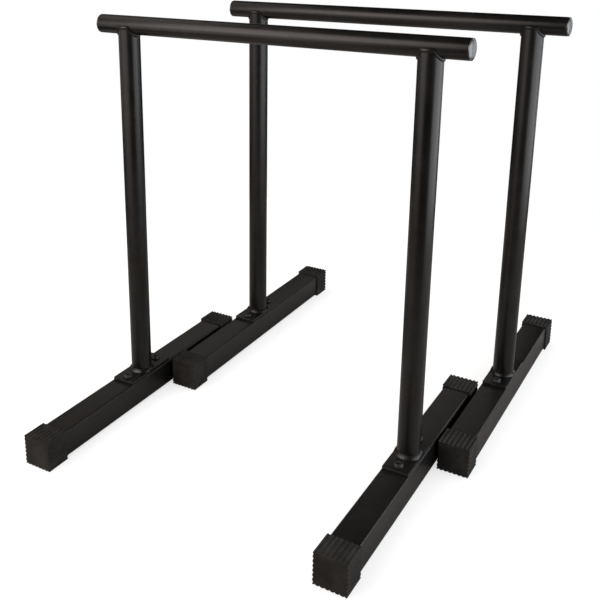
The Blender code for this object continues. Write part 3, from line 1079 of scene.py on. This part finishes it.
# Studio: a pale floor in a dark room with soft lamps
studio = {
    "floorCenter": (0.0, 0.10),
    "floorReach": 1.25,
    "floorSteps": 96,
    "floorColor": (0.25, 0.25, 0.25),
    "floorLift": 0.94,
    "fadeShares": (0.62, 0.92),
    "contactReach": 0.16,
    "contactSamples": 8,
    "contactShade": 0.66,
    "mirrorDepth": 2.0,
    "mirrorColor": (0.345, 0.302, 0.266),
    "drapeRadius": 3.0,
    "drapeSteps": 48,
    "drapeLevels": (-0.9, 2.9),
    "drapeColor": (0.012, 0.012, 0.012),
    "roomLight": 0.03,
    "lamps": {
        "warmFront": {"place": (-0.66, -1.42, 1.42), "aim": (-0.1, -0.1, 0.65), "size": (1.6, 1.3),
                      "color": (1.0, 0.90, 0.84), "power": 29.7},
        "warmLow": {"place": (-0.70, -1.12, 0.62), "aim": (-0.40, 0.0, 0.55), "size": (1.25, 0.9),
                    "color": (1.0, 0.92, 0.87), "power": 5.85},
        "warmLeft": {"place": (-1.75, -0.45, 0.70), "aim": (0.0, 0.0, 0.5), "size": (1.8, 1.0),
                     "color": (1.0, 0.93, 0.89), "power": 3.38},
        "warmHigh": {"place": (-1.50, -0.10, 2.00), "aim": (-1.50, -0.10, 0.0), "size": (1.3, 1.6),
                     "color": (1.0, 0.94, 0.90), "power": 6.0},
        "coolRight": {"place": (1.30, 0.12, 0.68), "aim": (0.25, 0.12, 0.98), "size": (1.64, 1.05),
                      "color": (0.95, 0.97, 1.0), "power": 24.0},
        "coolBack": {"place": (1.00, 1.67, 1.00), "aim": (0.32, -0.18, 0.75), "size": (0.42, 1.7),
                     "color": (0.93, 0.97, 1.0), "power": 5.2},
        "backLow": {"place": (-0.80, 1.25, 0.85), "aim": (-0.15, 0.1, 0.1), "size": (1.9, 0.7),
                    "color": (1.0, 0.92, 0.86), "power": 1.9},
        "overhead": {"place": (0.0, 0.1, 2.6), "aim": (0.0, 0.1, 0.0), "size": (1.8, 1.4),
                     "color": (1.0, 0.97, 0.94), "power": 0.9},
    },
}


def seen(start):
    # 1 for the rays that look at the backdrop, straight, by reflection or through glass
    path = start.node("ShaderNodeLightPath")
    total = path.out("Is Camera Ray") + path.out("Is Glossy Ray") + path.out("Is Transmission Ray")
    return total.clamped()


def paleFloor():
    # Lifted to white for the camera, fully so at its rim, and shaded close to the object.
    # Its mirror image is warmer and much darker, most of all close to the object.
    material, start = newMaterial("paleFloor")
    place = start.node("ShaderNodeTexCoord").out("Object")
    away = start.node("ShaderNodeVectorMath", {"operation": "LENGTH"}, {0: place}, out="Value")
    fadeStart, fadeEnd = (studio["floorReach"] * share for share in studio["fadeShares"])
    glow = mixColor(start, away.between(fadeStart, fadeEnd), grey(studio["floorLift"]), grey(1.0))
    clear = start.node("ShaderNodeAmbientOcclusion", {"samples": studio["contactSamples"]},
                       {"Distance": studio["contactReach"]}, out="AO")
    direct = start.node("ShaderNodeLightPath").out("Is Camera Ray")
    shade = studio["contactShade"] + (1 - studio["contactShade"]) * clear
    glow = mixColor(start, direct * shade, grey(0.0), glow)
    mirrored = mixColor(start, clear ** studio["mirrorDepth"], grey(0.0), studio["mirrorColor"])
    glow = mixColor(start, direct, mirrored, glow)
    diffuse = start.node("ShaderNodeBsdfDiffuse", sockets={"Color": (*studio["floorColor"], 1.0)})
    lift = start.node("ShaderNodeEmission", sockets={"Color": glow, "Strength": seen(start)})
    both = start.node("ShaderNodeAddShader", sockets={0: diffuse, 1: lift})
    start.node("ShaderNodeOutputMaterial", sockets={"Surface": both})
    return material


def darkCloth():
    material, start = newMaterial("darkCloth")
    diffuse = start.node("ShaderNodeBsdfDiffuse", sockets={"Color": (*studio["drapeColor"], 1.0)})
    start.node("ShaderNodeOutputMaterial", sockets={"Surface": diffuse})
    return material


def addFloor():
    bm = bmesh.new()
    bmesh.ops.create_circle(bm, cap_ends=True, radius=studio["floorReach"],
                            segments=studio["floorSteps"])
    mesh = bpy.data.meshes.new("floor")
    bm.to_mesh(mesh)
    bm.free()
    floor = toObject(mesh, "floor", paleFloor())
    floor.location = (*studio["floorCenter"], 0.0)


def addDrapes():
    # Cloth round and over the set, out of the camera's sight
    radius, steps = studio["drapeRadius"], studio["drapeSteps"]
    angles = [math.tau * step / steps for step in range(steps)]
    bm = bmesh.new()
    rings = [[bm.verts.new((radius * math.cos(angle), radius * math.sin(angle), z)) for angle in angles]
             for z in studio["drapeLevels"]]
    joinRings(bm, rings)
    bm.faces.new(rings[0])
    bm.faces.new(rings[1])
    mesh = bpy.data.meshes.new("drapes")
    bm.to_mesh(mesh)
    bm.free()
    drapes = toObject(mesh, "drapes", darkCloth())
    drapes.visible_camera = False


def addLamps():
    for name, lamp in studio["lamps"].items():
        data = bpy.data.lights.new(name, "AREA")
        data.shape = "RECTANGLE"
        data.size, data.size_y = lamp["size"]
        data.energy = lamp["power"]
        data.color = lamp["color"]
        light = bpy.data.objects.new(name, data)
        place, aim = Vector(lamp["place"]), Vector(lamp["aim"])
        turn = (aim - place).to_track_quat("-Z", "Y").to_matrix().to_4x4()
        light.matrix_world = Matrix.Translation(place) @ turn
        light.visible_camera = False
        scene.collection.objects.link(light)


def addRoom():
    world = bpy.data.worlds.new("room")
    world.use_nodes = True
    world.node_tree.nodes.clear()
    start = Wire(world.node_tree)
    color = mixColor(start, seen(start), grey(studio["roomLight"]), grey(1.0))
    back = start.node("ShaderNodeBackground", sockets={"Color": color, "Strength": 1.0})
    start.node("ShaderNodeOutputWorld", sockets={"Surface": back})
    scene.world = world


addFloor()
addDrapes()
addLamps()
addRoom()
scene.view_settings.view_transform = "Standard"
print("stage 6: camera and studio ready")
